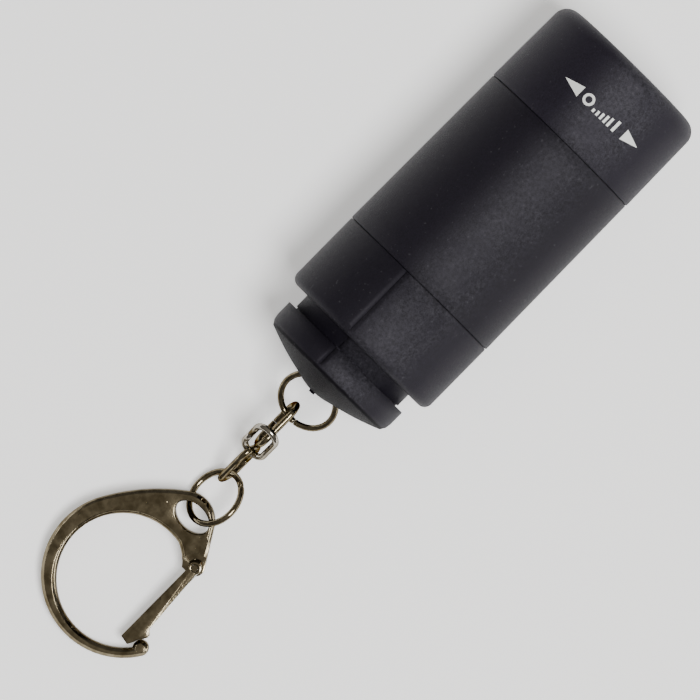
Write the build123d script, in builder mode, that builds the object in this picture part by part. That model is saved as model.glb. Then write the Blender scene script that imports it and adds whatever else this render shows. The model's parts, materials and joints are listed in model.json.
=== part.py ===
from build123d import *
from math import asin, cos, radians, sin, sqrt, tan
import os

os.makedirs("parts", exist_ok=True)

# A pocket torch on a key chain, lying on a flat floor.
# Origin: centre of the front rim, on the beam axis. +X is the beam's direction, +Z is up.
# Every length is in millimetres and every angle in degrees.

# ---------------------------------------------------------------- outer casing
HEAD_LENGTH = 12.2
BODY_LENGTH = 23.6
CAP_LENGTH = 10.2
GROOVE_LENGTH = 2.0
FLANGE_LENGTH = 2.65
DOME_LENGTH = 3.0
BODY_DIAMETER = 22.2
CASING_WALL = 1.6
DRAFT = 0.16            # how much the radius of a casing falls towards the beam end
HEAD_STEP = 0.06        # the head is this much smaller in radius than the body beside it
CAP_STEP = 0.05         # the cap is this much smaller in radius than the body beside it
GROOVE_DIAMETER = 16.7
FLANGE_DIAMETER = 18.6
HEAD_CORNER = 1.9
CAP_CORNER = 1.1
DOME_SHOULDER = 0.6     # chamfer between the flange and the dome
DOME_BULGE = 0.66       # the dome has fallen this share of its length where its radius is the next share
DOME_WAIST = 0.56
RELIEF = 0.2            # small square groove at the foot of the cap's flange
SPLIT_ANGLE = 10.0      # the line where the mould's halves met, measured from the top towards +Y
SPLIT_WIDTH = 0.13
SPLIT_DEPTH = 0.12
NIB_DIAMETER = 0.75     # what is left of the moulding gate on the dome's tip
NIB_LENGTH = 0.2
SEAM_BREAK = 0.12       # small broken edge at each joint between casings
SEAM_GAP = 0.04

# ---------------------------------------------------------------- fits
RUNNING = 0.05          # radial clearance of a piece that turns or slides in another
SEATED = 0.02           # clearance of a piece that sits fixed in another
GROOVE_ROOM = 0.1       # how much wider a seal's groove is than the seal
CLIP_ROOM = 0.06        # how much wider the snap ring's groove is than the ring
CLIP_GRIP = 0.5         # how deep the snap ring sits in each of the two pieces that it joins
EDGE_LAND = 0.4         # least metal or rubber left between a groove and the end beside it
CUT_OVER = 0.01         # how far a cut runs past a surface that it opens
SEAL_SECTION = 0.9
CLIP_SECTION = 0.8
CLIP_MOUTH = 3.0

# ---------------------------------------------------------------- plug, as on every USB-A cable
PLUG_WIDTH = 12.0
PLUG_HEIGHT = 4.5
PLUG_WALL = 0.3
PLUG_REACH = 11.1       # length of plug outside the body
PLUG_ROOT = 4.4         # length of plug inside the body
PLUG_EDGE = 0.4
PLUG_ROOM = 0.6         # between the plug's corners and the wall of the cap's hollow
PLUG_END_ROOM = 0.4
TONGUE_HEIGHT = 1.84
TONGUE_INSET = 0.3
CONTACT_PITCH = 2.3
CONTACT_WIDTH = 1.0
CONTACT_INSET = 1.2
CONTACT_THICKNESS = 0.2
WINDOW_SIZE = 2.0
WINDOW_INSET = 4.2

# ---------------------------------------------------------------- body insides
REAR_SPIGOT = 2.1       # stub that the cap slides over
FRONT_SPIGOT = 3.4      # stub that the head turns on
SPIGOT_WALL = 1.3
REAR_PLATE = 1.5
BOARD_WIDTH = 12.4
BOARD_THICKNESS = 1.0
CELL_DIAMETER = 10.0
CELL_LENGTH = 18.0
CELL_CLEARANCE = 0.57   # between the cell and the board under it
CELL_EDGE = 0.4
CARD_THICKNESS = 0.3    # fibre card on the end of the cell
CARD_MARGIN = 0.6
BOARD_GAP = 0.2
CELL_GAP = 0.8          # behind the cell, for its tab and the plug's soldered pins
BOARD_OVERHANG = 0.4
CRADLE_MARGIN = 2.0
TAB_THICKNESS = 0.2
TAB_WIDTH = 2.5
CRADLE_WIDTH = 10.4
TAB_FOOT = 1.2
TAB_RISE = 1.0          # how far each tab reaches above the cell's axis
PLATE_THICKNESS = 0.8   # contact plate and LED board
PIN_RADIUS = 0.4        # wire pins between the board and the contact plate
PIN_OVERLAP = 2.0

# ---------------------------------------------------------------- head insides
LIP_THICKNESS = 0.8
LENS_DIAMETER = 17.8
LENS_THICKNESS = 1.5
LENS_LIP = 0.7          # how far the rim laps over the lens
REFLECTOR_DEPTH = 5.2
REFLECTOR_WALL = 0.5
REFLECTOR_ROOM = 0.3    # between the reflector's mouth and the lens's edge
WIPER_LENGTH = 3.0
WIPER_WIDTH = 1.0
WIPER_FOOT = 0.6
LED_SIZE = 3.5
LED_THICKNESS = 0.8
LED_DOME = 1.4

# ---------------------------------------------------------------- rings, links and hook
LUG_ROOM = 1.4          # how much wider the lug's hole is than the ring's wire
LUG_STRAP = 0.43        # wall between the hole and the dome's tip
LUG_FLARE = 1.05        # the hole flares out by this at each end, so that a round ring can run through
LUG_FLARE_START = 1.2   # from the middle of the hole to where the flare starts
LUG_FLARE_END = 3.0
RING_DIAMETER = 7.8
RING_WIRE = 0.8
LINK_WIRE = 0.85
LINK_INSIDE_LENGTH = 5.7
LINK_ROOM = 1.15        # how much wider a link is inside than its wire
HOOK_THICKNESS = 2.2
HOOK_OPENING = 15.5     # diameter of the bow's inside
HOOK_ARM = 2.0          # width of the bow's arm
TIP_WIDTH = 1.2
KNOB_DIAMETER = 1.9     # round end of the bow, which the closed gate rests on
EYE_REACH = 10.8        # from the bow's centre to the eye's centre, along the hook
EYE_DROP = 0.95         # how far the eye's centre lies to the gate side of the bow's centre
EYE_WIDTH = 4.7
EYE_ROOM = 0.9          # how much deeper the eye is than the hook is thick, so that a ring can lean in it
EYE_RIM = 1.05
GATE_WALL = 0.35
EAR_THICKNESS = 0.75
PIN_DIAMETER = 0.8
SPRING_WIRE = 0.3

# how the rings and links lie: angle of each above the floor, and slack in each joint
RING_SLOPE = 33.0
TOP_LINK_RISE = -2.0
MIDDLE_LINK_SLOPE = 59.0
BOTTOM_LINK_SLOPE = 40.0
LINK_ROLL = 14.0
HOOK_RING_ROLL = 42.0
CHAIN_SIDE = 0.2        # how far the chain lies to the +Y side of the beam axis
RING_SIDE = -0.45
HOOK_RING_SIDE = -0.65
HOOK_SIDE = -0.35
TOP_SLACK = 0.8
LINK_SLACK = 0.43       # share of the link's wire left free where two links meet
TOP_DROP = 0.41         # share of the wire by which the middle link hangs below the top link's middle
BOTTOM_SLACK = 0.76     # share of the ring's wire left free where the bottom link holds the ring
RIM_SLACK = 0.15        # share of the hook's thickness left free between its eye and the ring

# ---------------------------------------------------------------- derived places along the beam axis
body_radius = BODY_DIAMETER / 2
body_front_radius = body_radius - DRAFT
head_radius = body_front_radius + HEAD_STEP
head_front_radius = head_radius - DRAFT
cap_radius = body_radius - CAP_STEP
floor_z = -body_radius

head_seam_x = -HEAD_LENGTH
cap_seam_x = head_seam_x - BODY_LENGTH
cap_end_x = cap_seam_x - CAP_LENGTH
groove_end_x = cap_end_x - GROOVE_LENGTH
flange_end_x = groove_end_x - FLANGE_LENGTH
dome_tip_x = flange_end_x - DOME_LENGTH
lug_hole_radius = (RING_WIRE + LUG_ROOM) / 2
lug_mouth_radius = lug_hole_radius + LUG_FLARE
lug_hole_x = dome_tip_x + LUG_STRAP + lug_hole_radius

bore_radius = body_front_radius - CASING_WALL
spigot_radius = bore_radius - RUNNING
spigot_bore = spigot_radius - SPIGOT_WALL
spigot_front_x = head_seam_x + FRONT_SPIGOT
spigot_rear_x = cap_seam_x - REAR_SPIGOT

lens_front_x = -LIP_THICKNESS
lens_back_x = lens_front_x - LENS_THICKNESS
reflector_back_x = lens_back_x - REFLECTOR_DEPTH
led_board_back_x = reflector_back_x - PLATE_THICKNESS
led_seat_x = led_board_back_x - RUNNING
seat_radius = LENS_DIAMETER / 2 + SEATED

plate_front_x = spigot_front_x - SEAL_SECTION / 2
plate_back_x = plate_front_x - PLATE_THICKNESS

plug_tip_x = spigot_rear_x - PLUG_REACH
plug_root_x = spigot_rear_x + PLUG_ROOT
cavity_radius = sqrt((PLUG_WIDTH / 2) ** 2 + (PLUG_HEIGHT / 2) ** 2) + PLUG_ROOM
cavity_end_x = plug_tip_x - PLUG_END_ROOM

board_top_z = -PLUG_HEIGHT / 2 - SEATED
board_bottom_z = board_top_z - BOARD_THICKNESS
cell_z = board_top_z + CELL_CLEARANCE + CELL_DIAMETER / 2
board_rear_x = spigot_rear_x + REAR_PLATE + BOARD_GAP
cell_rear_x = plug_root_x + TAB_THICKNESS + CELL_GAP
cell_front_x = cell_rear_x + CELL_LENGTH
board_front_x = cell_front_x + BOARD_OVERHANG

BEAM = Axis((0, 0, 0), (1, 0, 0))
# profiles of turned pieces are drawn with x along the beam and y as the radius
PROFILE = Plane(origin=(0, 0, 0), x_dir=(1, 0, 0), z_dir=(0, -1, 0))
# the same plane turned about the beam to the line where the mould's halves met
SPLIT = PROFILE.rotated((-SPLIT_ANGLE, 0, 0))


def across(x):
    """The plane square to the beam at x, with its own x to the side and its own y up."""
    return Plane(origin=(x, 0, 0), x_dir=(0, 1, 0), z_dir=(1, 0, 0))


def turned(points, mode=Mode.ADD):
    """Turn a closed outline of (place along the beam, radius) points round the beam axis."""
    with BuildSketch(PROFILE) as outline:
        with BuildLine():
            Polyline(*points, close=True)
        make_face()
    revolve(outline.sketch, axis=BEAM, mode=mode)


def disc(x_low, x_high, radius, mode=Mode.ADD, inner=0.0):
    """A disc or, with an inner radius, a flat ring between two places on the beam axis."""
    turned([(x_low, inner), (x_high, inner), (x_high, radius), (x_low, radius)], mode)


def block(x_low, x_high, width, z_low, z_high, side=0.0, mode=Mode.ADD):
    """A rectangular block between two places on the beam axis, centred at a sideways offset."""
    with BuildSketch(across(x_low)) as section:
        with Locations((side, (z_low + z_high) / 2)):
            Rectangle(width, z_high - z_low)
    extrude(section.sketch, amount=x_high - x_low, mode=mode)


def finish(builder, label):
    """Name a finished piece and write it."""
    builder.part.label = label
    export_step(builder.part, f"parts/{label}.step")


# ================================================================ torch body
seal_groove = SEAL_SECTION + GROOVE_ROOM
seal_ring_radius = spigot_radius + RUNNING - SEAL_SECTION / 2 - SEATED
seal_floor = seal_ring_radius - SEAL_SECTION / 2 - SEATED
head_seal_x = head_seam_x + EDGE_LAND + seal_groove / 2
cap_seal_x = cap_seam_x - EDGE_LAND - seal_groove / 2
clip_groove = CLIP_SECTION + CLIP_ROOM
clip_x = spigot_front_x - EDGE_LAND - clip_groove / 2
clip_inner = spigot_radius - CLIP_GRIP
clip_outer = bore_radius + CLIP_GRIP

with BuildPart() as body_shell:
    turned([
        (cap_seam_x + SEAM_GAP / 2, 0),
        (head_seam_x - SEAM_GAP / 2, 0),
        (head_seam_x - SEAM_GAP / 2, body_front_radius),
        (cap_seam_x + SEAM_GAP / 2, body_radius),
    ])
    outer_rims = body_shell.edges().filter_by(GeomType.CIRCLE)
    chamfer(outer_rims, SEAM_BREAK)
    disc(spigot_rear_x, spigot_front_x, spigot_radius)
    disc(cap_seam_x + CASING_WALL, head_seam_x - CASING_WALL, bore_radius, Mode.SUBTRACT)
    disc(spigot_rear_x + REAR_PLATE, spigot_front_x, spigot_bore, Mode.SUBTRACT)
    block(spigot_rear_x, spigot_rear_x + REAR_PLATE, PLUG_WIDTH + 2 * RUNNING,
          -PLUG_HEIGHT / 2 - RUNNING, PLUG_HEIGHT / 2 + RUNNING, mode=Mode.SUBTRACT)
    for groove_x, groove_width, groove_floor in (
        (head_seal_x, seal_groove, seal_floor),
        (cap_seal_x, seal_groove, seal_floor),
        (clip_x, clip_groove, clip_inner - SEATED),
    ):
        disc(groove_x - groove_width / 2, groove_x + groove_width / 2, spigot_radius + CUT_OVER,
             Mode.SUBTRACT, inner=groove_floor)
finish(body_shell, "body_shell")


def seal(x):
    """A round-section rubber ring lying in its groove."""
    with BuildPart() as ring:
        with Locations(Plane(origin=(x, 0, 0), z_dir=(1, 0, 0))):
            Torus(seal_ring_radius, SEAL_SECTION / 2)
    return ring


head_seal = seal(head_seal_x)
finish(head_seal, "head_seal")
cap_seal = seal(cap_seal_x)
finish(cap_seal, "cap_seal")

# Snap ring, open at the bottom, that keeps the head on while it turns
with BuildPart() as head_clip:
    disc(clip_x - CLIP_SECTION / 2, clip_x + CLIP_SECTION / 2, clip_outer, inner=clip_inner)
    block(clip_x - CLIP_SECTION, clip_x + CLIP_SECTION, CLIP_MOUTH, -2 * clip_outer, 0, mode=Mode.SUBTRACT)
finish(head_clip, "head_clip")

# ---------------------------------------------------------------- USB plug
window_x = plug_tip_x + WINDOW_INSET
with BuildPart() as usb_shell:
    block(plug_tip_x, plug_root_x, PLUG_WIDTH, -PLUG_HEIGHT / 2, PLUG_HEIGHT / 2)
    fillet(usb_shell.edges().filter_by(Axis.X), PLUG_EDGE)
    block(plug_tip_x, plug_root_x, PLUG_WIDTH - 2 * PLUG_WALL,
          -PLUG_HEIGHT / 2 + PLUG_WALL, PLUG_HEIGHT / 2 - PLUG_WALL, mode=Mode.SUBTRACT)
    for window_side in (-CONTACT_PITCH, CONTACT_PITCH):
        block(window_x, window_x + WINDOW_SIZE, WINDOW_SIZE, -PLUG_HEIGHT, PLUG_HEIGHT,
              side=window_side, mode=Mode.SUBTRACT)
finish(usb_shell, "usb_shell")

tongue_low_z = -PLUG_HEIGHT / 2 + PLUG_WALL + SEATED
tongue_high_z = tongue_low_z + TONGUE_HEIGHT
tongue_root_x = plug_root_x - BOARD_GAP
tongue_width = PLUG_WIDTH - 2 * PLUG_WALL - 2 * SEATED
with BuildPart() as usb_tongue:
    block(plug_tip_x + TONGUE_INSET, tongue_root_x, tongue_width, tongue_low_z, tongue_high_z)
    block(spigot_rear_x, tongue_root_x, tongue_width, tongue_low_z,
          PLUG_HEIGHT / 2 - PLUG_WALL - SEATED)
finish(usb_tongue, "usb_tongue")

contact_low_z = tongue_high_z + CUT_OVER
with BuildPart() as usb_contacts:
    for place in (-1.5, -0.5, 0.5, 1.5):
        block(plug_tip_x + CONTACT_INSET, spigot_rear_x - SEAM_BREAK, CONTACT_WIDTH, contact_low_z,
              contact_low_z + CONTACT_THICKNESS, side=place * CONTACT_PITCH)
finish(usb_contacts, "usb_contacts")

# ---------------------------------------------------------------- board and its parts
with BuildPart() as main_board:
    block(board_rear_x, board_front_x, BOARD_WIDTH, board_bottom_z, board_top_z)
finish(main_board, "main_board")


def chip(x, side, length, width, height):
    """A part soldered under the board."""
    with BuildPart() as body:
        block(x - length / 2, x + length / 2, width, board_bottom_z - height, board_bottom_z, side=side)
    return body


charge_chip = chip(board_rear_x + 6.0, 1.5, 4.9, 3.9, 1.4)
finish(charge_chip, "charge_chip")
driver_chip = chip(board_rear_x + 13.5, -1.6, 3.0, 1.7, 1.1)
finish(driver_chip, "driver_chip")
charge_led = chip(board_rear_x + 1.4, -3.6, 1.6, 0.8, 0.7)
finish(charge_led, "charge_led")

with BuildPart() as board_resistors:
    for row in range(4):
        x = board_rear_x + 10.0 + 2.0 * row
        block(x - 0.8, x + 0.8, 0.8, board_bottom_z - 0.45, board_bottom_z, side=3.8)
finish(board_resistors, "board_resistors")

CELL_PLANE_REAR = Plane(origin=(cell_rear_x, 0, cell_z), x_dir=(0, 1, 0), z_dir=(1, 0, 0))
CELL_PLANE_FRONT = CELL_PLANE_REAR.offset(CELL_LENGTH)
with BuildPart() as battery_can:
    with BuildSketch(CELL_PLANE_REAR):
        Circle(CELL_DIAMETER / 2)
    extrude(amount=CELL_LENGTH)
    fillet(battery_can.edges().filter_by(GeomType.CIRCLE), CELL_EDGE)
finish(battery_can, "battery_can")

with BuildPart() as battery_insulator:
    with BuildSketch(CELL_PLANE_FRONT.offset(SEATED)):
        Circle(CELL_DIAMETER / 2 - CARD_MARGIN)
        Rectangle(TAB_WIDTH + CARD_MARGIN, CELL_DIAMETER, mode=Mode.SUBTRACT)
    extrude(amount=CARD_THICKNESS)
finish(battery_insulator, "battery_insulator")

with BuildPart() as battery_tab_positive:
    block(cell_front_x + SEATED, cell_front_x + SEATED + TAB_THICKNESS, TAB_WIDTH, board_top_z + SEATED,
          cell_z + TAB_RISE)
    block(cell_front_x + SEATED - TAB_FOOT, cell_front_x + SEATED + TAB_THICKNESS, TAB_WIDTH,
          board_top_z + SEATED, board_top_z + SEATED + TAB_THICKNESS)
finish(battery_tab_positive, "battery_tab_positive")

with BuildPart() as battery_tab_negative:
    block(cell_rear_x - SEATED - TAB_THICKNESS, cell_rear_x - SEATED, TAB_WIDTH, board_top_z + SEATED,
          cell_z + TAB_RISE)
    block(cell_rear_x - SEATED - TAB_THICKNESS, cell_rear_x - SEATED + TAB_FOOT, TAB_WIDTH,
          board_top_z + SEATED, board_top_z + SEATED + TAB_THICKNESS)
finish(battery_tab_negative, "battery_tab_negative")

with BuildPart() as cell_cradle:
    block(cell_rear_x + CRADLE_MARGIN, cell_front_x - CRADLE_MARGIN, CRADLE_WIDTH,
          board_top_z + SEATED, cell_z - CRADLE_MARGIN)
    with BuildSketch(CELL_PLANE_REAR):
        Circle(CELL_DIAMETER / 2 + SEATED)
    extrude(amount=CELL_LENGTH, mode=Mode.SUBTRACT)
finish(cell_cradle, "cell_cradle")

# ---------------------------------------------------------------- fixed half of the twist switch
with BuildPart() as contact_plate:
    disc(plate_back_x, plate_front_x, spigot_bore - SEATED)
finish(contact_plate, "contact_plate")

TRACK_THICKNESS = 0.1
TRACK_WIDTH = 1.4
inner_track_radius = 3.0
outer_track_radius = 6.0


def track(radius):
    """A flat copper ring on the front of the contact plate."""
    with BuildPart() as ring:
        disc(plate_front_x, plate_front_x + TRACK_THICKNESS, radius + TRACK_WIDTH / 2,
             inner=radius - TRACK_WIDTH / 2)
    return ring


contact_track_inner = track(inner_track_radius)
finish(contact_track_inner, "contact_track_inner")
contact_track_outer = track(outer_track_radius)
finish(contact_track_outer, "contact_track_outer")

pin_rear_x = board_front_x - PIN_OVERLAP
with BuildPart() as link_pins:
    with BuildSketch(across(pin_rear_x)):
        with Locations(
            (-inner_track_radius, board_top_z + PIN_RADIUS + SEATED),
            (inner_track_radius, board_top_z + PIN_RADIUS + SEATED),
        ):
            Circle(PIN_RADIUS)
    extrude(amount=plate_back_x - pin_rear_x)
finish(link_pins, "link_pins")

# ================================================================ head
with BuildPart() as head_shell:
    turned([
        (head_seam_x + SEAM_GAP / 2, 0),
        (0, 0),
        (0, head_front_radius),
        (head_seam_x + SEAM_GAP / 2, head_radius),
    ])
    head_rims = head_shell.edges().filter_by(GeomType.CIRCLE).sort_by(Axis.X)
    chamfer(head_rims[0], SEAM_BREAK)
    fillet(head_shell.edges().filter_by(GeomType.CIRCLE).sort_by(Axis.X)[-1], HEAD_CORNER)
    disc(head_seam_x, led_seat_x, bore_radius, Mode.SUBTRACT)
    disc(led_seat_x, lens_front_x, seat_radius, Mode.SUBTRACT)
    disc(lens_front_x, 0, LENS_DIAMETER / 2 - LENS_LIP, Mode.SUBTRACT)
    disc(clip_x - clip_groove / 2 - RUNNING, clip_x + clip_groove / 2 + RUNNING,
         clip_outer + RUNNING, Mode.SUBTRACT)
finish(head_shell, "head_shell")

with BuildPart() as lens:
    disc(lens_back_x, lens_front_x - SEATED, LENS_DIAMETER / 2)
finish(lens, "lens")

reflector_mouth = LENS_DIAMETER / 2 - REFLECTOR_ROOM
reflector_throat = LED_SIZE * 0.75
with BuildPart() as reflector:
    with BuildSketch(PROFILE) as dish:
        with BuildLine():
            back = (reflector_back_x + SEATED, reflector_throat)
            mouth = (lens_back_x - SEATED, reflector_mouth)
            bend = (reflector_back_x + 0.35 * REFLECTOR_DEPTH, 0.68 * reflector_mouth)
            inside = ThreePointArc(back, bend, mouth)
            rim = Line(mouth, (mouth[0], mouth[1] + REFLECTOR_WALL / 2))
            outside = ThreePointArc(rim @ 1, (bend[0] - REFLECTOR_WALL, bend[1] + REFLECTOR_WALL / 2),
                                    (back[0], back[1] + REFLECTOR_WALL))
            Line(outside @ 1, back)
        make_face()
    revolve(dish.sketch, axis=BEAM)
finish(reflector, "reflector")

with BuildPart() as led_board:
    disc(led_board_back_x, reflector_back_x, seat_radius - SEATED)
finish(led_board, "led_board")

with BuildPart() as led_package:
    block(reflector_back_x, reflector_back_x + LED_THICKNESS, LED_SIZE, -LED_SIZE / 2, LED_SIZE / 2)
finish(led_package, "led_package")

led_front_x = reflector_back_x + LED_THICKNESS
with BuildPart() as led_dome:
    with BuildSketch(PROFILE) as half_dome:
        with BuildLine():
            base = Line((led_front_x, 0), (led_front_x, LED_DOME))
            top = CenterArc((led_front_x, 0), LED_DOME, 90, -90)
            Line(top @ 1, base @ 0)
        make_face()
    revolve(half_dome.sketch, axis=BEAM)
finish(led_dome, "led_dome")

wiper_gap = led_board_back_x - plate_front_x - TRACK_THICKNESS


def wiper(radius):
    """A flat spring on the back of the LED board with a foot that rubs on one copper ring."""
    with BuildPart() as spring:
        block(led_board_back_x - TAB_THICKNESS, led_board_back_x, WIPER_LENGTH, radius - WIPER_WIDTH / 2,
              radius + WIPER_WIDTH / 2, side=WIPER_FOOT - WIPER_LENGTH / 2)
        block(led_board_back_x - wiper_gap + RUNNING, led_board_back_x, WIPER_FOOT,
              radius - WIPER_WIDTH / 2, radius + WIPER_WIDTH / 2, side=WIPER_FOOT / 2)
    return spring


wiper_spring_inner = wiper(inner_track_radius)
finish(wiper_spring_inner, "wiper_spring_inner")
wiper_spring_outer = wiper(outer_track_radius)
finish(wiper_spring_outer, "wiper_spring_outer")

# ================================================================ tail cap
cap_bore = spigot_radius + RUNNING
flange_radius = FLANGE_DIAMETER / 2
dome_shoulder_x = flange_end_x - DOME_SHOULDER
dome_shoulder_radius = flange_radius - DOME_SHOULDER / 2
with BuildPart() as tail_cap:
    with BuildSketch(PROFILE) as cap_outline:
        with BuildLine():
            Polyline(
                (dome_tip_x, 0),
                (cap_seam_x - SEAM_GAP / 2, 0),
                (cap_seam_x - SEAM_GAP / 2, cap_radius),
                (cap_end_x, cap_radius),
                (cap_end_x, GROOVE_DIAMETER / 2),
                (groove_end_x, GROOVE_DIAMETER / 2),
                (groove_end_x, flange_radius),
                (flange_end_x, flange_radius),
                (dome_shoulder_x, dome_shoulder_radius),
            )
            ThreePointArc(
                (dome_shoulder_x, dome_shoulder_radius),
                (flange_end_x - DOME_BULGE * DOME_LENGTH, DOME_WAIST * flange_radius),
                (dome_tip_x, 0),
            )
        make_face()
    revolve(cap_outline.sketch, axis=BEAM)
    rims = tail_cap.edges().filter_by(GeomType.CIRCLE)
    chamfer(rims.sort_by(Axis.X)[-1], SEAM_BREAK)
    wide_rim = rims.filter_by(lambda rim: abs(rim.radius - cap_radius) < 0.01).sort_by(Axis.X)[0]
    fillet(wide_rim, CAP_CORNER)
    disc(spigot_rear_x - EDGE_LAND, cap_seam_x, cap_bore, Mode.SUBTRACT)
    disc(cavity_end_x, spigot_rear_x, cavity_radius, Mode.SUBTRACT)
    with BuildSketch(Plane.XY) as hole:
        with BuildLine():
            Polyline(
                (lug_hole_x, -FLANGE_DIAMETER),
                (lug_hole_x + lug_mouth_radius, -FLANGE_DIAMETER),
                (lug_hole_x + lug_mouth_radius, -LUG_FLARE_END),
                (lug_hole_x + lug_hole_radius, -LUG_FLARE_START),
                (lug_hole_x + lug_hole_radius, LUG_FLARE_START),
                (lug_hole_x + lug_mouth_radius, LUG_FLARE_END),
                (lug_hole_x + lug_mouth_radius, FLANGE_DIAMETER),
                (lug_hole_x, FLANGE_DIAMETER),
                close=True,
            )
        make_face()
    revolve(hole.sketch, axis=Axis((lug_hole_x, 0, 0), (0, 1, 0)), mode=Mode.SUBTRACT)
    disc(groove_end_x, groove_end_x + RELIEF, FLANGE_DIAMETER / 2, Mode.SUBTRACT,
         inner=GROOVE_DIAMETER / 2 - RELIEF)
    with BuildSketch(SPLIT) as split:
        for x_low, x_high, radius in (
            (cap_end_x, cap_seam_x, cap_radius),
            (groove_end_x, cap_end_x, GROOVE_DIAMETER / 2),
            (flange_end_x, groove_end_x, FLANGE_DIAMETER / 2),
        ):
            with Locations(((x_low + x_high) / 2, radius)):
                Rectangle(x_high - x_low, 2 * SPLIT_DEPTH)
    extrude(split.sketch, amount=SPLIT_WIDTH / 2, both=True, mode=Mode.SUBTRACT)
    disc(dome_tip_x - NIB_LENGTH, dome_tip_x + LUG_STRAP / 2, NIB_DIAMETER / 2)
finish(tail_cap, "tail_cap")

# ================================================================ rings and chain links
ring_radius = (RING_DIAMETER - RING_WIRE) / 2
link_pitch = LINK_INSIDE_LENGTH + LINK_WIRE
link_bend = LINK_WIRE + LINK_ROOM / 2
link_step = LINK_WIRE * (1 + LINK_SLACK)


def heading(angle):
    """The direction that runs back from the torch at an angle above the floor."""
    return Vector(-cos(radians(angle)), 0, sin(radians(angle)))


def wire_ring(centre, away, side_dir, wire):
    """A round wire ring in the plane of two directions."""
    normal = away.cross(side_dir)
    with BuildPart() as ring:
        with Locations(Plane(origin=centre, x_dir=away, z_dir=normal)):
            Torus(ring_radius, wire / 2)
    return ring


def wire_link(start, away, roll):
    """A long wire link that starts at a bend and stands nearly upright, rolled about its length."""
    side_dir = Vector(0, 1, 0)
    up_dir = away.cross(side_dir)
    width_dir = up_dir * cos(radians(roll)) + side_dir * sin(radians(roll))
    middle = start + away * (link_pitch / 2)
    plane = Plane(origin=middle, x_dir=away, z_dir=away.cross(width_dir))
    straight = link_pitch / 2 - link_bend
    with BuildPart() as link:
        with BuildLine(plane) as path:
            bottom = Line((-straight, -link_bend), (straight, -link_bend))
            CenterArc((straight, 0), link_bend, -90, 180)
            Line((straight, link_bend), (-straight, link_bend))
            CenterArc((-straight, 0), link_bend, 90, 180)
        with BuildSketch(Plane(origin=bottom @ 0, z_dir=bottom % 0)) as section:
            Circle(LINK_WIRE / 2)
        sweep(section.sketch, path=path.wires()[0])
    return link


lug_hole = Vector(lug_hole_x, 0, 0)
ring_away = heading(-RING_SLOPE)
ring_inset = 0.3 * lug_hole_radius
cap_ring_near = lug_hole - ring_away * ring_inset
cap_ring_far = cap_ring_near + ring_away * (2 * ring_radius)
cap_ring = wire_ring((cap_ring_near + cap_ring_far) * 0.5 + Vector(0, RING_SIDE, 0), ring_away,
                     Vector(0, 1, 0), RING_WIRE)
finish(cap_ring, "cap_ring")

chain_offset = Vector(0, CHAIN_SIDE, 0)
top_away = heading(TOP_LINK_RISE)
top_start = cap_ring_far - top_away * ((RING_WIRE + LINK_WIRE) / 2 + TOP_SLACK)
top_end = top_start + top_away * link_pitch
chain_link_top = wire_link(top_start + chain_offset, top_away, LINK_ROLL)
finish(chain_link_top, "chain_link_top")

middle_away = heading(-MIDDLE_LINK_SLOPE)
middle_end = top_end + middle_away * (2 * link_step) - Vector(0, 0, TOP_DROP * LINK_WIRE)
middle_start = middle_end - middle_away * link_pitch
chain_link_middle = wire_link(middle_start + chain_offset, middle_away, 90.0)
finish(chain_link_middle, "chain_link_middle")

bottom_away = heading(-BOTTOM_LINK_SLOPE)
bottom_start = middle_end - middle_away * link_step
bottom_end = bottom_start + bottom_away * link_pitch
chain_link_bottom = wire_link(bottom_start + chain_offset, bottom_away, -LINK_ROLL)
finish(chain_link_bottom, "chain_link_bottom")

hook_ring_side = Vector(0, -cos(radians(HOOK_RING_ROLL)), sin(radians(HOOK_RING_ROLL)))
hook_ring_near = bottom_end - bottom_away * ((RING_WIRE + LINK_WIRE) / 2 + BOTTOM_SLACK * RING_WIRE)
hook_ring_away = heading(0)
# the ring lies to one side of the chain, and is rolled, so it is raised to pass through the link's middle
hook_ring_lift = (CHAIN_SIDE - HOOK_RING_SIDE) * tan(radians(HOOK_RING_ROLL))
hook_ring_centre = hook_ring_near + hook_ring_away * ring_radius + Vector(0, HOOK_RING_SIDE, hook_ring_lift)
hook_ring_far = hook_ring_centre + hook_ring_away * ring_radius
hook_ring = wire_ring(hook_ring_centre, hook_ring_away, hook_ring_side, RING_WIRE)
finish(hook_ring, "hook_ring")

# ================================================================ snap hook
bow_inner = HOOK_OPENING / 2
bow_outer = bow_inner + HOOK_ARM
eye_depth = HOOK_THICKNESS + EYE_ROOM
rim_reach = eye_depth / 2 + EYE_RIM / 2
# the eye's rim rests on the low side of the ring, and the bow's far end rests on the floor
rim_x = hook_ring_far.X + rim_reach
ring_side_share = sqrt(1 - ((rim_x - hook_ring_centre.X) / ring_radius) ** 2)
ring_low_z = hook_ring_centre.Z - ring_radius * ring_side_share * sin(radians(HOOK_RING_ROLL))
ring_top_z = ring_low_z + RING_WIRE / 2 / cos(radians(HOOK_RING_ROLL))
rim_z = ring_top_z + HOOK_THICKNESS * (0.5 + RIM_SLACK)
bow_end_z = floor_z + HOOK_THICKNESS / 2
hook_length_to_rim = bow_outer + EYE_REACH + rim_reach
hook_tilt = asin((rim_z - bow_end_z) / hook_length_to_rim)
hook_forward = Vector(cos(hook_tilt), 0, sin(hook_tilt))
hook_normal = Vector(-sin(hook_tilt), 0, cos(hook_tilt))
eye_rim = Vector(rim_x, HOOK_SIDE, rim_z)
bow_centre = eye_rim - hook_forward * (rim_reach + EYE_REACH) + Vector(0, EYE_DROP, 0)
HOOK = Plane(origin=bow_centre, x_dir=hook_forward, z_dir=hook_normal)

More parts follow.
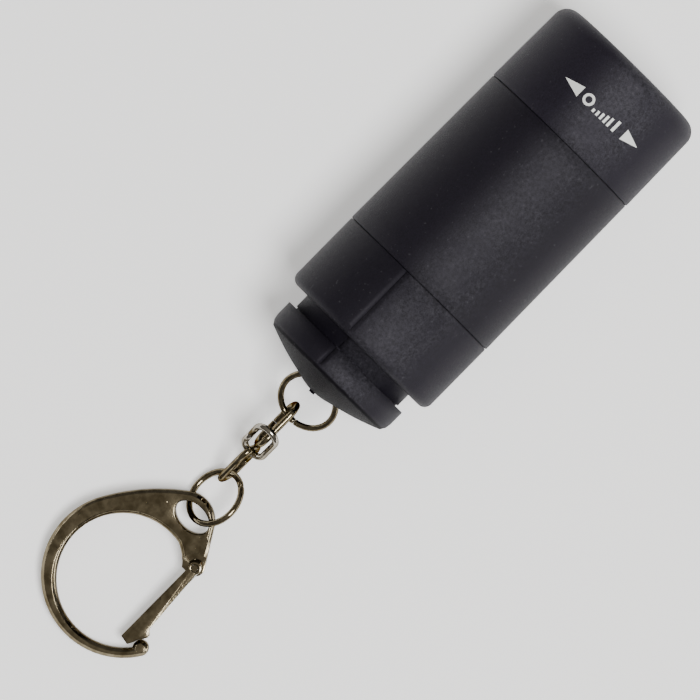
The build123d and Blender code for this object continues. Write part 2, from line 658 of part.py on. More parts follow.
FLANK_START = 64.0      # where the straight flank leaves the bow, in degrees round the bow's centre
OPENING_END = -14.0     # where the opening's round edge ends, beside the gate's pivot
TIP_ANGLE = 238.0       # where the bow ends
EAR_WALL = 0.66         # metal round the rivet in the hook's ear
GATE_EYE_WALL = 0.35    # metal round the rivet in the gate's cheeks
PIVOT_BACK = 4.1        # from the eye's centre to the gate's pivot, along the hook
PIVOT_DROP = 4.45
RECESS_MARGIN = 0.74    # how far the thinned part of the hook reaches round the ear
EAR_SHIFT = -0.17       # the ear stands to one side, to leave room for the spring
FLANK_ROOM = 0.45       # how far the flank's end lies in front of the eye
FLANK_RISE = 2.3
FLANK_BULGE = Vector(0.42, 0.5)
NOSE_DROP = 2.6
CORNER_BULGE = Vector(0.15, -0.15)
EAR_FRONT = Vector(0.65, -0.84)     # points round the ear, as shares of its radius
EAR_LOW = Vector(-0.3, -0.954)
CHEEK_RISE = 1.2        # how far the ear's straight inner side rises from the rivet
OPENING_TOP = 110.0     # a point on the bow's inside, in degrees round its centre
EDGE_BEVEL = 0.42
EYE_BEVEL = 0.15

ear_radius = PIN_DIAMETER / 2 + EAR_WALL
eye = Vector(EYE_REACH, -EYE_DROP)
pivot = eye - Vector(PIVOT_BACK, PIVOT_DROP)


def on_circle(radius, angle):
    """A point on a circle round the bow's centre."""
    return Vector(radius * cos(radians(angle)), radius * sin(radians(angle)))


tip_centre = on_circle(bow_outer - TIP_WIDTH / 2, TIP_ANGLE)
knob = on_circle(bow_outer - KNOB_DIAMETER / 2, TIP_ANGLE)
with BuildPart() as tip_knob:
    with BuildSketch(HOOK):
        with Locations(knob):
            Circle(KNOB_DIAMETER / 2)
    extrude(amount=HOOK_THICKNESS / 2, both=True)
    chamfer(tip_knob.edges().filter_by(GeomType.CIRCLE), EDGE_BEVEL)

with BuildPart() as hook_body:
    with BuildSketch(HOOK):
        with BuildLine():
            bow = CenterArc((0, 0), bow_outer, TIP_ANGLE, FLANK_START - TIP_ANGLE)
            flank_end = eye + Vector(eye_depth / 2 + FLANK_ROOM, FLANK_RISE)
            flank_middle = (bow @ 1 + flank_end) * 0.5 + FLANK_BULGE
            flank = ThreePointArc(bow @ 1, flank_middle, flank_end)
            nose_end = eye + Vector(eye_depth / 2 - FLANK_ROOM, -NOSE_DROP)
            nose = ThreePointArc(flank_end, eye + Vector(eye_depth / 2 + EYE_RIM, 0), nose_end)
            lower = Line(nose @ 1, pivot + EAR_FRONT * ear_radius)
            ear = ThreePointArc(lower @ 1, pivot + EAR_LOW * ear_radius,
                                pivot + Vector(-1, 0) * ear_radius)
            cheek = Line(ear @ 1, pivot + Vector(-ear_radius, CHEEK_RISE))
            opening_end = on_circle(bow_inner, OPENING_END)
            corner_middle = (cheek @ 1 + opening_end) * 0.5 + CORNER_BULGE
            corner = ThreePointArc(cheek @ 1, corner_middle, opening_end)
            opening = ThreePointArc(opening_end, on_circle(bow_inner, OPENING_TOP),
                                    on_circle(bow_outer - TIP_WIDTH, TIP_ANGLE))
            Line(opening @ 1, bow @ 0)
        make_face()
        with Locations(tip_centre):
            Circle(TIP_WIDTH / 2)
        with Locations(eye):
            Ellipse(eye_depth / 2, EYE_WIDTH / 2, mode=Mode.SUBTRACT)
    extrude(amount=HOOK_THICKNESS / 2, both=True)
    for flat_side in (0, -1):
        flat = hook_body.faces().sort_by(Axis((0, 0, 0), hook_normal))[flat_side]
        eye_edge = flat.inner_wires()[0].edges()
        chamfer(flat.outer_wire().edges(), EDGE_BEVEL)
        chamfer(eye_edge, EYE_BEVEL)
    add(tip_knob.part)
    # the gate's two cheeks close over the ear, which is thinner than the rest of the hook
    for level, travel in (
        (EAR_SHIFT + EAR_THICKNESS / 2, HOOK_THICKNESS),
        (EAR_SHIFT - EAR_THICKNESS / 2, -HOOK_THICKNESS),
    ):
        with BuildSketch(HOOK.offset(level)) as recess:
            with Locations(pivot):
                Circle(ear_radius + RECESS_MARGIN)
        extrude(recess.sketch, amount=travel, mode=Mode.SUBTRACT)
    with BuildSketch(HOOK.offset(-HOOK_THICKNESS)) as rivet_hole:
        with Locations(pivot):
            Circle(PIN_DIAMETER / 2 + SEATED)
    extrude(rivet_hole.sketch, amount=2 * HOOK_THICKNESS, mode=Mode.SUBTRACT)
finish(hook_body, "hook_body")

# ---------------------------------------------------------------- gate, its rivet and its spring
GATE_HEIGHT = 1.2
GATE_OVERHANG = 0.62    # how far the gate reaches past the knob's middle
GATE_SLANT = 0.12       # how far the gate's end leans outwards
KNOB_ROOM = 0.08        # between the knob and the gate's cheeks
JAW_REACH = 0.85        # where the cheeks end beside the knob, as shares of its diameter
JAW_RISE = 0.12
WEB_START = 1.55        # the web between the cheeks starts here, clear of the ear when the gate swings in
gate_top = GATE_HEIGHT / 2
gate_end = Vector(knob.X - GATE_OVERHANG, pivot.Y)
jaw_tip = knob + Vector(JAW_REACH, JAW_RISE) * KNOB_DIAMETER
gate_inside = HOOK_THICKNESS / 2 - GATE_WALL
with BuildPart() as gate:
    with BuildSketch(HOOK):
        with BuildLine():
            Polyline(
                pivot + Vector(0, gate_top),
                gate_end + Vector(GATE_SLANT, gate_top),
                gate_end + Vector(-GATE_SLANT, -gate_top),
                jaw_tip,
                jaw_tip + Vector(gate_top, gate_top),
                pivot + Vector(0, -gate_top),
                close=True,
            )
        make_face()
        with Locations(pivot):
            Circle(PIN_DIAMETER / 2 + GATE_EYE_WALL)
        with Locations(knob):
            Circle(KNOB_DIAMETER / 2 + KNOB_ROOM, mode=Mode.SUBTRACT)
    extrude(amount=HOOK_THICKNESS / 2, both=True)
    with BuildSketch(HOOK):
        with BuildLine():
            Polyline(
                pivot + Vector(GATE_HEIGHT, GATE_HEIGHT),
                pivot + Vector(-WEB_START, GATE_HEIGHT),
                pivot + Vector(-WEB_START, gate_top - GATE_WALL),
                gate_end + Vector(-GATE_HEIGHT, gate_top - GATE_WALL),
                gate_end + Vector(-GATE_HEIGHT, -2 * GATE_HEIGHT),
                pivot + Vector(GATE_HEIGHT, -2 * GATE_HEIGHT),
                close=True,
            )
        make_face()
    extrude(amount=gate_inside, both=True, mode=Mode.SUBTRACT)
    with BuildSketch(HOOK.offset(-HOOK_THICKNESS)) as pin_hole:
        with Locations(pivot):
            Circle(PIN_DIAMETER / 2 + RUNNING)
    extrude(pin_hole.sketch, amount=2 * HOOK_THICKNESS, mode=Mode.SUBTRACT)
finish(gate, "gate")

with BuildPart() as gate_pin:
    with BuildSketch(HOOK.offset(-HOOK_THICKNESS / 2)) as pin_section:
        with Locations(pivot):
            Circle(PIN_DIAMETER / 2)
    extrude(pin_section.sketch, amount=HOOK_THICKNESS)
finish(gate_pin, "gate_pin")

# one open turn of wire round the rivet, with a leg that pushes along the gate
coil_radius = PIN_DIAMETER / 2 + SPRING_WIRE / 2 + 0.08
coil_level = (EAR_SHIFT + EAR_THICKNESS / 2 + gate_inside) / 2
COIL = Plane(origin=HOOK.offset(coil_level).from_local_coords(pivot), x_dir=HOOK.x_dir, z_dir=HOOK.z_dir)
with BuildPart() as gate_spring:
    with BuildLine(COIL) as coil_path:
        gate_leg = Line((-3.0, -coil_radius), (0, -coil_radius))
        CenterArc((0, 0), coil_radius, -90, 250)
    with BuildSketch(Plane(origin=gate_leg @ 0, z_dir=gate_leg % 0)) as spring_section:
        Circle(SPRING_WIRE / 2)
    sweep(spring_section.sketch, path=coil_path.wires()[0])
finish(gate_spring, "gate_spring")
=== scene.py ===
import json
import math

import bmesh
import bpy
import numpy
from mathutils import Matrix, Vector


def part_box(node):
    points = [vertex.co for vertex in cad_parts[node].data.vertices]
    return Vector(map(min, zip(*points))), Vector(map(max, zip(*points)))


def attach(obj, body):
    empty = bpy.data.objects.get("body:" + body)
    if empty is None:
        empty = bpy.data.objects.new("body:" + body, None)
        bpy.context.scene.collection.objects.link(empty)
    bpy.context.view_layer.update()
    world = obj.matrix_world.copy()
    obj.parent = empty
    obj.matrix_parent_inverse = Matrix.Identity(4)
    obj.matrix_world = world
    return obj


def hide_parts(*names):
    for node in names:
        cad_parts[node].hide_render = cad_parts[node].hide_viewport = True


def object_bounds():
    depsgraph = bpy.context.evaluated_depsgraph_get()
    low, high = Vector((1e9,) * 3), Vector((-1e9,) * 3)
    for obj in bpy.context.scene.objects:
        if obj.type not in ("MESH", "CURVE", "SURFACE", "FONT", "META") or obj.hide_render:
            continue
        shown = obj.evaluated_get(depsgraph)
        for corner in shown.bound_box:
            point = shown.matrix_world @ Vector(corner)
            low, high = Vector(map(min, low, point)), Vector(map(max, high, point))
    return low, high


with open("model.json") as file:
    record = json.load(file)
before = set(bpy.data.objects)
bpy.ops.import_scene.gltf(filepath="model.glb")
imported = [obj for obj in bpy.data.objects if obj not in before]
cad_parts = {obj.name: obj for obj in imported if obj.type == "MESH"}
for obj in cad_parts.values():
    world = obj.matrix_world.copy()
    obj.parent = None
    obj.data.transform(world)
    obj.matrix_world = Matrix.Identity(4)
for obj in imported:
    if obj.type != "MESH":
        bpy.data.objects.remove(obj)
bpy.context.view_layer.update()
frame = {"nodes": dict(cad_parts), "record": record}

MM = 0.001
WIRE_SHARE = 0.96       # the drawn wires are a shade thinner than nominal, so they clip less


# ---------------------------------------------------------------- node helpers
class Nodes:
    """A short way to build one material's node tree."""

    def __init__(self, name):
        self.material = bpy.data.materials.new(name)
        self.material.use_nodes = True
        self.tree = self.material.node_tree
        self.shader = self.tree.nodes["Principled BSDF"]

    def add(self, kind, inputs=None, **settings):
        node = self.tree.nodes.new(kind)
        for key, value in settings.items():
            setattr(node, key, value)
        for key, value in (inputs or {}).items():
            self.put(node.inputs[key], value)
        return node

    def put(self, socket, value):
        if isinstance(value, bpy.types.NodeSocket):
            self.tree.links.new(value, socket)
        else:
            socket.default_value = value

    def set(self, **values):
        """Shader inputs by name, with underscores for spaces."""
        for key, value in values.items():
            value = (*value, 1) if isinstance(value, tuple) else value
            self.put(self.shader.inputs[key.replace("_", " ")], value)

    def place(self):
        """Object coordinates in millimetres."""
        spot = self.add("ShaderNodeTexCoord").outputs["Object"]
        size = (1 / MM, 1 / MM, 1 / MM)
        return self.add("ShaderNodeMapping", {"Vector": spot, "Scale": size}).outputs["Vector"]

    def noise(self, scale, detail=4.0, roughness=0.5):
        """Noise with a number of features per millimetre."""
        node = self.add("ShaderNodeTexNoise", {
            "Vector": self.place(), "Scale": scale, "Detail": detail, "Roughness": roughness,
        })
        return node.outputs["Fac"]

    def span(self, value, low, high, first=0.0, last=1.0, smooth=False):
        """The value's range from low to high, mapped onto first to last."""
        kind = "SMOOTHSTEP" if smooth else "LINEAR"
        node = self.add("ShaderNodeMapRange", interpolation_type=kind)
        for socket, number in zip(node.inputs, (value, low, high, first, last)):
            self.put(socket, number)
        return node.outputs["Result"]

    def mix(self, share, first, second):
        node = self.add("ShaderNodeMix", data_type="RGBA")
        self.put(node.inputs[0], share)
        for socket, value in ((node.inputs[6], first), (node.inputs[7], second)):
            self.put(socket, (*value, 1) if isinstance(value, tuple) else value)
        return node.outputs[2]

    def math(self, operation, first, second=0.0):
        node = self.add("ShaderNodeMath", operation=operation)
        self.put(node.inputs[0], first)
        self.put(node.inputs[1], second)
        return node.outputs[0]

    def scale(self, colour, factor):
        node = self.add("ShaderNodeVectorMath", {0: colour, "Scale": factor}, operation="SCALE")
        return node.outputs["Vector"]

    def bump(self, height, strength, distance):
        node = self.add("ShaderNodeBump", {"Height": height, "Strength": strength, "Distance": distance})
        return node.outputs["Normal"]


# ---------------------------------------------------------------- materials
RUBBER = (0.0060, 0.0050, 0.0085)
# the next colour is a painted highlight, laid in a band along the top of the coat
HIGHLIGHT_RUBBER = (0.0175, 0.0168, 0.0205)
SMOOTH_HALF = (0.0040, 0.0034, 0.0060)  # the darker half of the cap
# a painted shade colour, for the cap's dome
DOME_SHADE = (0.0035, 0.0030, 0.0045)
DUST = (0.070, 0.070, 0.075)
RUBBER_SHEEN = 0.21
DOME_SHEEN = 0.07
HIGHLIGHT_ANGLE = 15.0     # the middle of the painted highlight band, in degrees from the top towards -Y
HIGHLIGHT_CORE = 12.0      # the painted highlight is full this far to either side
HIGHLIGHT_EDGE = 34.0      # and not at all beyond this
SPLIT_ANGLE = 10.0      # the cap's mould split, in degrees from the top towards +Y
DOME_DEPTH = 2.9        # millimetres from the cap's rear tip to the dome's edge
FADE = 0.1              # half the width of a change across an edge, in degrees or millimetres


def rubber_coat(name, lift=1.0, is_cap=False):
    """Soft-touch charcoal coating: grain, dust specks and a painted highlight, a lighter band along the top
    that is mottled with scuffs.
    """
    n = Nodes(name)
    grain = n.noise(7.0, detail=6.0, roughness=0.75)
    clouds = n.noise(0.35, roughness=0.6)
    pebbles = n.noise(2.4, detail=3.0, roughness=0.65)
    flecks = n.span(n.noise(2.4, detail=1.0), 0.70, 0.80, 0.0, 0.3)
    axes = n.add("ShaderNodeSeparateXYZ", {"Vector": n.place()})
    angle = n.math("ARCTAN2", axes.outputs["Y"], axes.outputs["Z"])
    away = n.math("ABSOLUTE", n.math("ADD", angle, math.radians(HIGHLIGHT_ANGLE)))
    # painted highlight: the coat's colour is made lighter in a band along the top, towards -Y, where the key
    # light's soft reflection falls
    painted_highlight = n.span(away, math.radians(HIGHLIGHT_CORE), math.radians(HIGHLIGHT_EDGE), 1.0, 0.0, smooth=True)
    painted_highlight = n.math("MULTIPLY", painted_highlight, n.span(clouds, 0.3, 0.65, 0.55, 1.0))
    scuffs_in_highlight = n.math("MULTIPLY", n.span(pebbles, 0.35, 0.65, -0.45, 0.45), painted_highlight)
    grain_and_highlight_scuffs = n.math("ADD", n.span(grain, 0.35, 0.65, 0.45, 1.5), scuffs_in_highlight)
    base = n.scale(n.mix(painted_highlight, RUBBER, HIGHLIGHT_RUBBER), n.math("MULTIPLY", grain_and_highlight_scuffs, lift))
    sheen = RUBBER_SHEEN
    if is_cap:
        # the half on the +Y side of the mould split came out smoother and darker
        half = n.span(angle, math.radians(SPLIT_ANGLE - FADE), math.radians(SPLIT_ANGLE + FADE), 0.0, 0.45)
        base = n.mix(half, base, SMOOTH_HALF)
        # painted shade: the dome is made darker and duller than the rest of the coat
        dome_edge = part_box("tail_cap")[0].x / MM + DOME_DEPTH
        clear_of_dome_shade = n.span(axes.outputs["X"], dome_edge - FADE, dome_edge + FADE)
        base = n.mix(clear_of_dome_shade, DOME_SHADE, base)
        sheen = n.span(clear_of_dome_shade, 0.0, 1.0, DOME_SHEEN, RUBBER_SHEEN)
    n.set(Base_Color=n.mix(flecks, base, DUST), Specular_IOR_Level=sheen, Specular_Tint=(0.93, 0.89, 1.0))
    relief = n.math("ADD", grain, n.math("MULTIPLY", pebbles, painted_highlight))
    n.set(Roughness=n.span(grain, 0.3, 0.7, 0.44, 0.72), Normal=n.bump(relief, 0.8, 0.04 * MM))
    return n.material


DULL_NICKEL = (0.120, 0.098, 0.060)
BRIGHT_NICKEL = (0.240, 0.205, 0.140)
NICKEL_PIT = (0.050, 0.045, 0.030)


def nickel_plate(name, light=0.0):
    """Dark nickel plate over wire or a die casting: slight ripple, fine pits and tarnish."""
    n = Nodes(name)
    ripple = n.noise(0.9, detail=3.0)
    grain = n.noise(14.0)
    pits = n.span(n.noise(2.6, detail=2.0), 0.70, 0.80)
    dull = tuple(part + light for part in DULL_NICKEL)
    bright = tuple(part + light for part in BRIGHT_NICKEL)
    tint = n.mix(n.span(ripple, 0.35, 0.65), dull, bright)
    n.set(Base_Color=n.mix(pits, tint, NICKEL_PIT), Metallic=1.0, Specular_Tint=(0.2, 0.17, 0.12))
    height = n.math("SUBTRACT", ripple, pits)
    n.set(Roughness=n.span(grain, 0.3, 0.7, 0.07, 0.15), Normal=n.bump(height, 0.14, 0.06 * MM))
    return n.material


def plain(name, colour, roughness, metallic=0.0, grain_size=6.0, grain_depth=0.2, spread=0.25):
    """A moulded, painted or plated surface with slight grain and colour variation."""
    n = Nodes(name)
    grain = n.noise(grain_size)
    dark = tuple(part * (1 - spread) for part in colour)
    n.set(Base_Color=n.mix(n.noise(0.5, detail=2.0), dark, colour), Metallic=metallic)
    n.set(Roughness=n.span(grain, 0.3, 0.7, roughness * 0.85, roughness * 1.15))
    n.set(Normal=n.bump(grain, grain_depth, 0.02 * MM))
    return n.material


def clear_lens():
    """Clear polycarbonate with a very faint haze."""
    material = plain("lens_clear", (0.9, 0.93, 0.95), 0.05, grain_depth=0.02, spread=0.05)
    shader = material.node_tree.nodes["Principled BSDF"]
    shader.inputs["Transmission Weight"].default_value = 1.0
    shader.inputs["IOR"].default_value = 1.49
    return material


materials = {
    "casing": rubber_coat("casing_rubber", lift=1.1),
    "nickel": nickel_plate("dark_nickel"),
    "seal_rubber": plain("black_rubber", (0.015, 0.015, 0.015), 0.55),
    "spring_steel": plain("spring_wire", (0.45, 0.44, 0.4), 0.3, metallic=1.0),
    "plug_steel": plain("plug_plate", (0.62, 0.61, 0.58), 0.25, metallic=1.0),
    "tongue_plastic": plain("white_plastic", (0.75, 0.74, 0.71), 0.45),
    "contact_gold": plain("gold_flash", (0.75, 0.52, 0.2), 0.25, metallic=1.0),
    "board_green": plain("solder_mask_green", (0.02, 0.13, 0.05), 0.35),
    "board_white": plain("solder_mask_white", (0.75, 0.76, 0.74), 0.4),
    "chip_black": plain("chip_epoxy", (0.02, 0.02, 0.022), 0.5),
    "indicator": plain("red_epoxy", (0.5, 0.03, 0.02), 0.2),
    "cell_wrap": plain("cell_sleeve", (0.03, 0.12, 0.35), 0.25),
    "insulator_card": plain("fibre_card", (0.6, 0.57, 0.48), 0.8),
    "cradle_plastic": plain("cradle_plastic", (0.04, 0.04, 0.045), 0.5),
    "reflector_plating": plain("reflector_plating", (0.85, 0.85, 0.86), 0.08, metallic=1.0, grain_depth=0.03),
    "led_ceramic": plain("led_ceramic", (0.8, 0.8, 0.77), 0.5),
    "led_phosphor": plain("led_phosphor", (0.85, 0.72, 0.2), 0.15),
    "lens_clear": clear_lens(),
}
mark_ink = plain("white_ink", (0.80, 0.82, 0.80), 0.5, grain_size=9.0, spread=0.15)
# painted light: the head and the cap get lighter copies of the body's coat, which lift the head's shaded side
# and the cap's shaded groove
head_rubber = rubber_coat("head_rubber", lift=1.6)
cap_rubber = rubber_coat("cap_rubber", lift=1.3, is_cap=True)
# painted light: a lighter copy of the dark nickel, for the middle link, which is turned to catch more light
painted_lit_nickel = nickel_plate("painted_lit_nickel", light=0.22)

slots = {part["node"]: part["material_slot"] for part in frame["record"]["subparts"]}
bodies = {node: body for body, nodes in frame["record"]["behaviour"]["bodies"].items() for node in nodes}
for node, obj in frame["nodes"].items():
    obj.data.materials.clear()
    obj.data.materials.append(materials[slots[node]])


# ---------------------------------------------------------------- pieces
def piece(name, mesh, material, body, slot, *nodes):
    """Put a finished mesh into the scene as a piece that rides on a body."""
    obj = bpy.data.objects.new(name, mesh)
    bpy.context.scene.collection.objects.link(obj)
    mesh.materials.clear()
    mesh.materials.append(material)
    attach(obj, body)
    if nodes:
        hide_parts(*nodes)


def mesh_from(mesh_data, name):
    """A named mesh with the faces that were built."""
    mesh = bpy.data.meshes.new(name)
    mesh_data.to_mesh(mesh)
    mesh_data.free()
    return mesh


def spread_of(node):
    """Middle, axes from the longest to the shortest, and sizes along them of a CAD node."""
    points = numpy.array([vertex.co for vertex in frame["nodes"][node].data.vertices])
    middle = (points.max(axis=0) + points.min(axis=0)) / 2
    axes = numpy.linalg.svd(points - points.mean(axis=0), full_matrices=False)[2]
    reach = (points - middle) @ axes.T
    sizes = reach.max(axis=0) - reach.min(axis=0)
    return Vector(middle), [Vector(axis) for axis in axes], [float(size) for size in sizes]


WIRE_SIDES = 20
CUT_DEPTH = 0.12        # of a wire's rounded end, as a share of its radius
CUT_WAIST = 0.72        # radius at the very end, as a share of the wire's
CUT_SHOULDER = 0.94     # and where the rounding starts


def tube(name, path, radius):
    """A round wire along an open path, with its two cut ends slightly rounded off."""
    count = len(path)
    tangents = [(path[min(i + 1, count - 1)] - path[max(i - 1, 0)]).normalized() for i in range(count)]
    across = tangents[0].orthogonal().normalized()
    mesh_data = bmesh.new()
    rings = []
    for i, (point, tangent) in enumerate(zip(path, tangents)):
        across = (across - tangent * across.dot(tangent)).normalized()
        up = tangent.cross(across)
        ends = [(point, 1.0)]
        if i == 0:
            ends = [(point, CUT_WAIST), (point + tangent * radius * CUT_DEPTH, CUT_SHOULDER)]
        if i == count - 1:
            ends = [(point - tangent * radius * CUT_DEPTH, CUT_SHOULDER), (point, CUT_WAIST)]
        for centre, share in ends:
            ring = []
            for side in range(WIRE_SIDES):
                turn = 2 * math.pi * side / WIRE_SIDES
                offset = across * math.cos(turn) + up * math.sin(turn)
                ring.append(mesh_data.verts.new(centre + offset * radius * share))
            rings.append(ring)
    for ring, following in zip(rings, rings[1:]):
        for side in range(WIRE_SIDES):
            after = (side + 1) % WIRE_SIDES
            mesh_data.faces.new((ring[side], ring[after], following[after], following[side]))
    mesh_data.faces.new(list(reversed(rings[0])))
    mesh_data.faces.new(rings[-1])
    bmesh.ops.recalc_face_normals(mesh_data, faces=mesh_data.faces)
    for face in mesh_data.faces:
        face.smooth = len(face.verts) == 4
    return mesh_from(mesh_data, name)


def bent_wire(node, material, path, wire):
    """A wire along a path, in place of a CAD node."""
    name = node + "_wire"
    piece(name, tube(name, path, wire / 2 * WIRE_SHARE), material, bodies[node], "nickel", node)


def split_ring(node, split_angle, gap=0.03 * MM, steps=96):
    """A bent wire ring whose cut ends almost meet, the split turned from the side away from the torch."""
    middle, axes, sizes = spread_of(node)
    normal = axes[2] if axes[2].z > 0 else -axes[2]
    wire = sizes[2]
    radius = (sizes[0] - wire) / 2
    away = Vector((-1, 0, 0))
    away = (away - normal * away.dot(normal)).normalized()
    side = normal.cross(away)
    start = math.radians(split_angle) + gap / radius / 2
    sweep = 2 * math.pi - gap / radius
    path = []
    for i in range(steps + 1):
        turn = start + sweep * i / steps
        path.append(middle + (away * math.cos(turn) + side * math.sin(turn)) * radius)
    bent_wire(node, materials["nickel"], path, wire)


def split_link(node, material, gap=0.02 * MM, steps=28):
    """A long chain link bent from wire, closed by a butt joint half way along one side."""
    middle, axes, sizes = spread_of(node)
    wire = sizes[2]
    bend = (sizes[1] - wire) / 2
    straight = (sizes[0] - sizes[1]) / 2
    lead, side = axes[0], axes[1]
    path = [middle + lead * gap / 2 - side * bend]
    for direction in (1, -1):
        for i in range(steps + 1):
            turn = -math.pi / 2 + math.pi * i / steps
            path.append(middle + lead * direction * (straight + bend * math.cos(turn))
                        + side * direction * bend * math.sin(turn))
    path.append(middle - lead * gap / 2 - side * bend)
    bent_wire(node, material, path, wire)


MERGE_DISTANCE = 0.001 * MM
FLAT_ANGLE = math.radians(1.0)      # faces that meet at less than this are one flat
EDGE_ANGLE = math.radians(24.0)     # and those that meet at more share an edge, which is rounded


def finished(node, material, slot, rounding=0.0, sharp_angle=30.0):
    """The CAD shape shaded as one skin across its seams and, for a casting, with rounded edges."""
    mesh_data = bmesh.new()
    mesh_data.from_mesh(frame["nodes"][node].data)
    bmesh.ops.remove_doubles(mesh_data, verts=mesh_data.verts, dist=MERGE_DISTANCE)
    if rounding:
        bmesh.ops.dissolve_limit(mesh_data, angle_limit=FLAT_ANGLE, verts=mesh_data.verts,
                                 edges=mesh_data.edges)
        edges = [edge for edge in mesh_data.edges
                 if len(edge.link_faces) == 2 and edge.calc_face_angle() > EDGE_ANGLE]
        bmesh.ops.bevel(mesh_data, geom=edges, offset=rounding, offset_type="OFFSET", segments=3,
                        profile=0.5, affect="EDGES", clamp_overlap=True)
        bmesh.ops.triangulate(mesh_data, faces=[face for face in mesh_data.faces if len(face.verts) > 4])
    for face in mesh_data.faces:
        face.smooth = True
    name = node + "_finished"
    mesh = mesh_from(mesh_data, name)
    mesh.set_sharp_from_angle(angle=math.radians(sharp_angle))
    piece(name, mesh, material, bodies[node], slot, node)


split_ring("cap_ring", 9)
split_ring("hook_ring", 150)
split_link("chain_link_top", materials["nickel"])
split_link("chain_link_middle", painted_lit_nickel)
split_link("chain_link_bottom", materials["nickel"])
finished("body_shell", materials["casing"], "casing")
finished("head_shell", head_rubber, "casing")
finished("tail_cap", cap_rubber, "casing")
finished("hook_body", materials["nickel"], "nickel", rounding=0.16 * MM, sharp_angle=35.0)
finished("gate", materials["nickel"], "nickel", rounding=0.06 * MM, sharp_angle=25.0)

# ---------------------------------------------------------------- the switch mark on the head
MARK_SETBACK = 5.5 * MM             # from the rear end of the head to the mark's middle
MARK_ANGLE = math.radians(-7.2)     # of its middle, from the top towards +Y
MARK_HEIGHT = 1.5 * MM              # along the torch
STROKE = 0.32 * MM
INK_PROUD = 0.012 * MM
INK_DEPTH = 0.03 * MM
# places of the signs round the head, from the mark's middle towards +Y
OFF_PLACE = 2.3 * MM
ON_PLACE = -2.2 * MM
TICK_PLACE = 1.05 * MM
TICK_STEP = 0.6 * MM
TICKS = 5
SHORTEST_TICK = 0.3                 # as shares of the mark's height
LONGEST_TICK = 0.8
ARROW_BASE = 3.6 * MM
ARROW_TIP = 6.2 * MM
ARROW_TAPER = 0.97
ARROW_STEPS = 8
CIRCLE_STEPS = 48


def switch_mark():
    """Raised white ink on the head: O and I for off and on, rising ticks between, and arrowheads."""
    low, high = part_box("head_shell")
    radius = (high.z - low.z) / 2 + INK_PROUD
    middle_x = low.x + MARK_SETBACK
    mesh_data = bmesh.new()

    def wrap(around, along, depth):
        """A vertex on the head's skin or below it, from its place round and along the torch."""
        angle = MARK_ANGLE + around / radius
        reach = radius - depth
        return mesh_data.verts.new((middle_x + along, math.sin(angle) * reach, math.cos(angle) * reach))

    def band(rails, closed=False):
        """A flat strip between two rails of (around, along) points, wrapped on the head."""
        rows = []
        for lower, upper in rails:
            top = (wrap(*lower, 0), wrap(*upper, 0))
            rows.append((*top, wrap(*upper, INK_DEPTH), wrap(*lower, INK_DEPTH)))
        pairs = list(zip(rows, rows[1:])) + ([(rows[-1], rows[0])] if closed else [])
        for row, following in pairs:
            for i in range(4):
                after = (i + 1) % 4
                mesh_data.faces.new((row[i], row[after], following[after], following[i]))
        if not closed:
            mesh_data.faces.new(rows[0])
            mesh_data.faces.new(tuple(reversed(rows[-1])))

    def bar(place, width, rise):
        """An upright stroke that stands on the mark's base line."""
        foot = -MARK_HEIGHT / 2
        places = [place + width * share for share in (-0.5, 0, 0.5)]
        band([((spot, foot), (spot, foot + rise)) for spot in places])

    outer = MARK_HEIGHT / 2
    inner = outer - STROKE
    rails = []
    for i in range(CIRCLE_STEPS):
        turn = 2 * math.pi * i / CIRCLE_STEPS
        rails.append(((OFF_PLACE + inner * math.cos(turn), inner * math.sin(turn)),
                      (OFF_PLACE + outer * math.cos(turn), outer * math.sin(turn))))
    band(rails, closed=True)
    bar(ON_PLACE, 1.2 * STROKE, MARK_HEIGHT)
    for i in range(TICKS):
        share = SHORTEST_TICK + (LONGEST_TICK - SHORTEST_TICK) * i / (TICKS - 1)
        bar(TICK_PLACE - TICK_STEP * i, STROKE, share * MARK_HEIGHT)
    for direction in (1, -1):
        rails = []
        for i in range(ARROW_STEPS + 1):
            share = i / ARROW_STEPS
            half = (1 - ARROW_TAPER * share) * MARK_HEIGHT / 2
            place = direction * (ARROW_BASE + (ARROW_TIP - ARROW_BASE) * share)
            rails.append(((place, -half), (place, half)))
        band(rails)
    bmesh.ops.recalc_face_normals(mesh_data, faces=mesh_data.faces)
    piece("switch_mark", mesh_from(mesh_data, "switch_mark"), mark_ink, "head", "casing")


switch_mark()

# ---------------------------------------------------------------- floor, light and camera
low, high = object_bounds()
middle = (low + high) / 2

FLOOR_HALF = 3.0
FLOOR_DROP = 0.02 * MM
LIGHT_DISTANCE = 0.9
VIEW_DISTANCE = 1.3
VIEW_WIDTH = 0.08235
VIEW_SHIFT = (0.3 * MM, 0.25 * MM)
VIEW_TURN = -45.4       # the beam then runs to the upper right
SENSOR_WIDTH = 36.0


def floor():
    """A pale, faintly glowing table just under the object, which leaves hardly any shadow."""
    mesh = bpy.data.meshes.new("floor")
    corners = [(x * FLOOR_HALF, y * FLOOR_HALF, 0) for x, y in ((-1, -1), (1, -1), (1, 1), (-1, 1))]
    mesh.from_pydata(corners, [], [(0, 1, 2, 3)])
    obj = bpy.data.objects.new("floor", mesh)
    obj.location = (middle.x, middle.y, low.z - FLOOR_DROP)
    bpy.context.scene.collection.objects.link(obj)
    n = Nodes("floor_paper")
    n.set(Base_Color=n.mix(n.noise(0.02), (0.93, 0.93, 0.93), (0.95, 0.95, 0.95)), Roughness=0.9)
    n.set(Emission_Color=(1.0, 1.0, 1.0), Emission_Strength=0.5)
    mesh.materials.append(n.material)


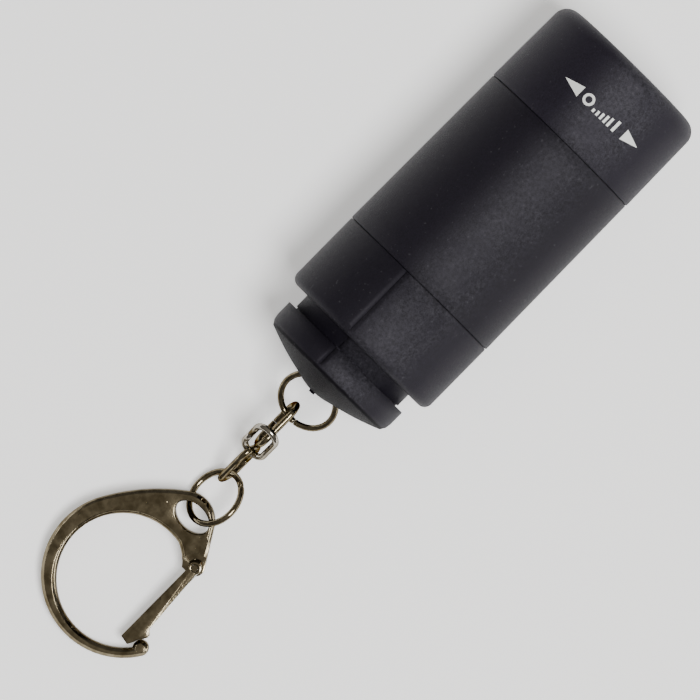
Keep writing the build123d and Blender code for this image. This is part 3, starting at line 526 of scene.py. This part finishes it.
def soft_light(name, direction, size, power):
    """A soft box of a width and height that looks at the object from a direction."""
    data = bpy.data.lights.new(name, "AREA")
    data.shape = "ELLIPSE"
    data.size, data.size_y = size
    data.energy = power
    obj = bpy.data.objects.new(name, data)
    away = Vector(direction).normalized()
    obj.location = middle + away * LIGHT_DISTANCE
    obj.rotation_euler = away.to_track_quat("Z", "Y").to_euler()
    bpy.context.scene.collection.objects.link(obj)


def studio_walls(strength):
    """Dim grey walls all round under a brighter, slightly warm ceiling."""
    world = bpy.data.worlds.new("studio")
    world.use_nodes = True
    tree = world.node_tree
    background = tree.nodes["Background"]
    spot = tree.nodes.new("ShaderNodeTexCoord")
    split = tree.nodes.new("ShaderNodeSeparateXYZ")
    ramp = tree.nodes.new("ShaderNodeValToRGB")
    stops = ((0.0, (0.30, 0.29, 0.28)), (0.55, (0.30, 0.29, 0.27)), (0.93, (0.60, 0.56, 0.48)))
    ramp.color_ramp.elements.new(0.5)
    for element, (height, colour) in zip(ramp.color_ramp.elements, stops):
        element.position = height
        element.color = (*colour, 1)
    tree.links.new(spot.outputs["Generated"], split.inputs[0])
    tree.links.new(split.outputs["Z"], ramp.inputs["Fac"])
    tree.links.new(ramp.outputs["Color"], background.inputs["Color"])
    background.inputs["Strength"].default_value = strength
    bpy.context.scene.world = world


def camera():
    """Looks straight down on the middle of the object."""
    data = bpy.data.cameras.new("camera")
    data.sensor_width = SENSOR_WIDTH
    data.lens = SENSOR_WIDTH * VIEW_DISTANCE / VIEW_WIDTH
    data.clip_start = 0.05
    data.clip_end = 20.0
    obj = bpy.data.objects.new("camera", data)
    obj.location = (middle.x + VIEW_SHIFT[0], middle.y + VIEW_SHIFT[1], middle.z + VIEW_DISTANCE)
    obj.rotation_euler = (0, 0, math.radians(VIEW_TURN))
    bpy.context.scene.collection.objects.link(obj)
    bpy.context.scene.camera = obj


floor()
studio_walls(0.62)
soft_light("key", (0.0, -0.30, 0.95), (0.34, 0.34), 9.6)
soft_light("left", (-0.45, 0.85, 0.07), (1.3, 0.03), 0.9)
soft_light("right", (0.35, -0.88, 0.10), (1.3, 0.04), 1.8)
camera()
